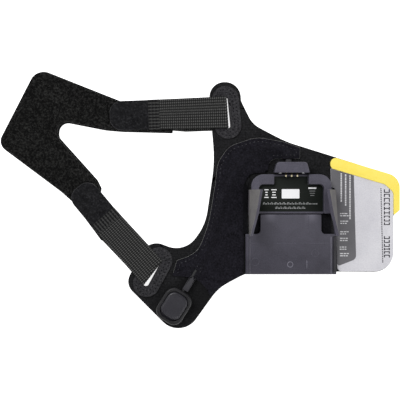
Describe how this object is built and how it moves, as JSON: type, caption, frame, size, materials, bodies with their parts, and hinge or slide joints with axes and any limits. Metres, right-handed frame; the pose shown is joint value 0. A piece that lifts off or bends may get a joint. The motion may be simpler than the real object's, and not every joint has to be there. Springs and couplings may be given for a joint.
{
  "type": "hand-worn scanner holder",
  "caption": "Fabric hand wrap with a moulded slide-in scanner cradle, spring contacts, a thumb trigger button and elastic straps that close on a loop-faced palm wrap.",
  "frame": {"origin": "centre of the outline's box in plan, at the skin side", "axes": "+X from the palm wrap to the label end, +Y to the finger side, +Z out of the back of the hand"},
  "size_m": [0.2199, 0.1415, 0.0224],
  "materials": {
    "panel_knit": "black laminated knit, faint heather",
    "lining_mesh": "black spacer mesh",
    "cover_microfibre": "blue-black microfibre, cut edges",
    "patch_microfibre": "charcoal microfibre, stitched",
    "reflective_film": "light grey retro-reflective film",
    "print_film": "dark grey printed film",
    "yellow_tape": "yellow thermoplastic tape",
    "cradle_plastic": "violet-grey moulded plastic, fine texture",
    "label_film": "greenish black label",
    "zinc_steel": "zinc-plated steel",
    "soft_rubber": "matt black silicone",
    "board_laminate": "green circuit laminate",
    "gold_plate": "gold-plated brass",
    "spring_steel": "spring wire",
    "cable_jacket": "black cable jacket",
    "trigger_plastic": "dark grey moulded plastic",
    "switch_plastic": "black switch body",
    "button_plastic": "dark grey moulded plastic, satin",
    "palm_knit": "black foam-backed knit",
    "loop_pile": "black napped loop pile",
    "elastic_webbing": "ribbed charcoal elastic",
    "tab_fabric": "charcoal faced tab",
    "hook_plastic": "black moulded hooks"
  },
  "bodies": {
    "root": {"back_panel": "panel_knit", "inner_lining": "lining_mesh", "cable_cover": "cover_microfibre", "upper_slot_patch": "patch_microfibre", "lower_slot_patch": "patch_microfibre", "reflective_patch": "reflective_film", "print_panel": "print_film", "yellow_trim": "yellow_tape", "cradle_base": "cradle_plastic", "cradle_frame": "cradle_plastic", "id_label": "label_film", "backing_plate": "zinc_steel", "cradle_screws": "zinc_steel", "contact_block": "cradle_plastic", "block_grommet": "soft_rubber", "contact_board": "board_laminate", "contact_barrels": "gold_plate", "contact_spring_1": "spring_steel", "contact_spring_2": "spring_steel", "contact_spring_3": "spring_steel", "trigger_cable": "cable_jacket", "trigger_strain_relief": "soft_rubber", "trigger_base": "trigger_plastic", "trigger_board": "board_laminate", "trigger_switch": "switch_plastic", "trigger_membrane": "soft_rubber", "trigger_bezel": "trigger_plastic"},
    "trigger_button": {"trigger_button": "button_plastic"},
    "contact_1": {"contact_plunger_1": "gold_plate"},
    "contact_2": {"contact_plunger_2": "gold_plate"},
    "contact_3": {"contact_plunger_3": "gold_plate"},
    "palm_wrap": {"palm_base": "palm_knit", "palm_loop_face": "loop_pile", "upper_elastic_strap": "elastic_webbing", "lower_elastic_strap": "elastic_webbing"},
    "upper_tab": {"upper_hook_tab": "tab_fabric", "upper_hook_pad": "hook_plastic"},
    "lower_tab": {"lower_hook_tab": "tab_fabric", "lower_hook_pad": "hook_plastic"}
  },
  "joints": [
    {"name": "trigger_press", "type": "slide", "parent": "root", "child": "trigger_button", "axis": [0, 0, -1], "range_m": [0, 0.0008], "stiffness_N_per_m": 1500, "deforming": ["trigger_membrane"]},
    {"name": "wrap_fold", "type": "hinge", "parent": "root", "child": "palm_wrap", "pos_m": [0.0142, 0.0481, 0.002], "axis": [-0.4209, -0.9071, 0], "range_deg": [-20, 150], "deforming": ["upper_elastic_strap", "lower_elastic_strap"]},
    {"name": "upper_tab_peel", "type": "hinge", "parent": "palm_wrap", "child": "upper_tab", "pos_m": [-0.028, 0.0468, 0.005], "axis": [-0.0366, 0.9993, 0], "range_deg": [0, 110]},
    {"name": "lower_tab_peel", "type": "hinge", "parent": "palm_wrap", "child": "lower_tab", "pos_m": [-0.0532, -0.0094, 0.005], "axis": [0.7683, 0.6401, 0], "range_deg": [0, 110]},
    {"name": "contact_1_press", "type": "slide", "parent": "root", "child": "contact_1", "axis": [0, 1, 0], "range_m": [0, 0.001], "stiffness_N_per_m": 500, "deforming": ["contact_spring_1"]},
    {"name": "contact_2_press", "type": "slide", "parent": "root", "child": "contact_2", "axis": [0, 1, 0], "range_m": [0, 0.001], "stiffness_N_per_m": 500, "deforming": ["contact_spring_2"]},
    {"name": "contact_3_press", "type": "slide", "parent": "root", "child": "contact_3", "axis": [0, 1, 0], "range_m": [0, 0.001], "stiffness_N_per_m": 500, "deforming": ["contact_spring_3"]}
  ]
}
